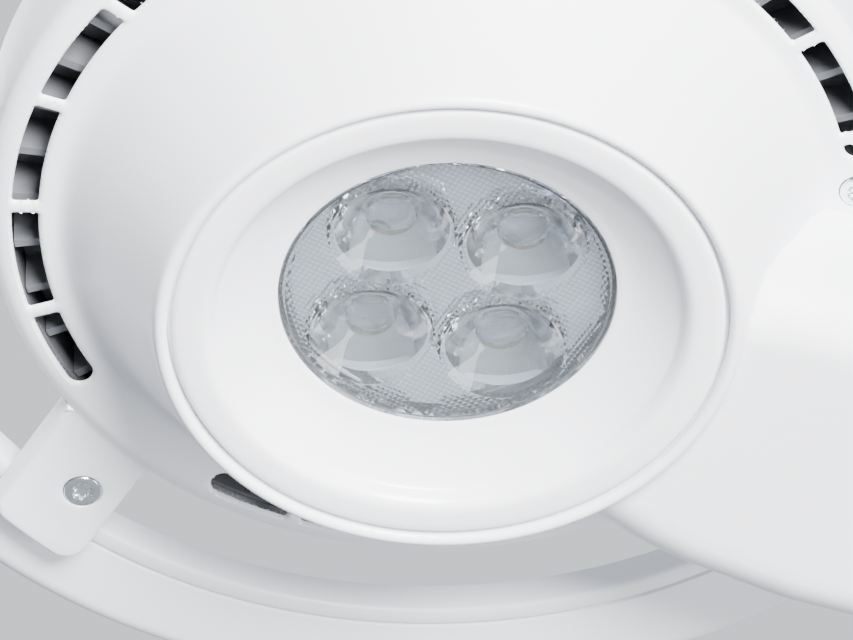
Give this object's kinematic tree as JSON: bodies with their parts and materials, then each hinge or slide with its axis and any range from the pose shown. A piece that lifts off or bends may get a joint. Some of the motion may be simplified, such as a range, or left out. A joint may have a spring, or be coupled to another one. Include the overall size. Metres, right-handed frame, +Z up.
{
  "type": "dental operating light",
  "caption": "Round white dental operating light head with recessed clear lens panel, ring handle, cooling slots and a neck that tilts, rolls and swivels.",
  "frame": {"origin": "centre of the swivel spigot's shoulder, where it seats against the arm's sleeve", "axes": "+Z up along the spigot; the lamp hangs from the tilt hinge towards -X and shines along -Z at rest"},
  "size_m": [0.3215, 0.203, 0.097],
  "materials": {
    "white_shell": "satin white moulding with a fine surface",
    "white_trim": "semi-gloss white moulding",
    "clear_lens": "clear moulded optics with a textured front",
    "black_plastic": "matt black moulding",
    "grey_rubber": "soft grey silicone",
    "led_phosphor": "cream phosphor",
    "white_board": "white solder mask on aluminium",
    "green_board": "green solder mask",
    "dark_fins": "dark anodised aluminium",
    "brass_turned": "turned",
    "bronze_bush": "sintered bronze",
    "cast_metal": "cast and blasted",
    "painted_casting": "white powder coat",
    "turned_steel": "turned",
    "zinc_screw": "bright zinc plate",
    "friction_polymer": "natural polymer",
    "button_plastic": "matt grey moulding",
    "lead_sheath": "matt sheath"
  },
  "bodies": {
    "spigot": {"swivel_spigot": "turned_steel", "swivel_washer": "friction_polymer", "retaining_washer": "turned_steel", "retaining_screw": "turned_steel"},
    "elbow_link": {"elbow": "painted_casting", "elbow_cap": "white_trim", "roll_bushes": "bronze_bush", "swivel_bushes": "bronze_bush"},
    "yoke_link": {"yoke": "painted_casting", "hinge_axle": "turned_steel", "axle_nut": "turned_steel", "axle_caps": "white_trim", "friction_washers": "friction_polymer", "roll_nut": "turned_steel", "roll_spacer": "turned_steel", "roll_washer": "friction_polymer"},
    "button": {"power_button": "button_plastic"},
    "lamp_head": {"front_cover": "white_shell", "rear_cover": "white_shell", "neck_back_cover": "white_shell", "bezel_ring": "white_trim", "handle_ring": "white_trim", "ring_carrier": "white_trim", "lens_cluster": "clear_lens", "lens_holder": "white_trim", "lens_seal": "grey_rubber", "led_emitters": "led_phosphor", "led_board": "white_board", "thermal_pad": "grey_rubber", "heat_sink": "dark_fins", "driver_posts": "brass_turned", "driver_board": "green_board", "driver_parts": "black_plastic", "neck_frame": "cast_metal", "hinge_bushes": "bronze_bush", "button_spring": "turned_steel", "button_switch": "black_plastic", "led_lead": "lead_sheath", "neck_lead": "lead_sheath", "neck_connector": "black_plastic", "cover_screws": "zinc_screw", "ring_screws": "zinc_screw", "frame_screws": "zinc_screw", "board_screws": "zinc_screw", "driver_screws": "zinc_screw", "rear_screws": "zinc_screw"}
  },
  "joints": [
    {"name": "head_swivel", "type": "hinge", "parent": "spigot", "child": "elbow_link", "pos_m": [0, 0, -0.02], "axis": [0, 0, 1], "range_deg": [-160, 160]},
    {"name": "head_roll", "type": "hinge", "parent": "elbow_link", "child": "yoke_link", "pos_m": [-0.036, 0, -0.045], "axis": [1, 0, 0], "range_deg": [-60, 60]},
    {"name": "head_tilt", "type": "hinge", "parent": "yoke_link", "child": "lamp_head", "pos_m": [-0.072, 0, -0.045], "axis": [0, 1, 0], "range_deg": [-70, 60]},
    {"name": "button_press", "type": "slide", "parent": "lamp_head", "child": "button", "axis": [0, 0, -1], "range_m": [0, 0.001], "stiffness_N_per_m": 600, "springref_m": -0.0008}
  ]
}
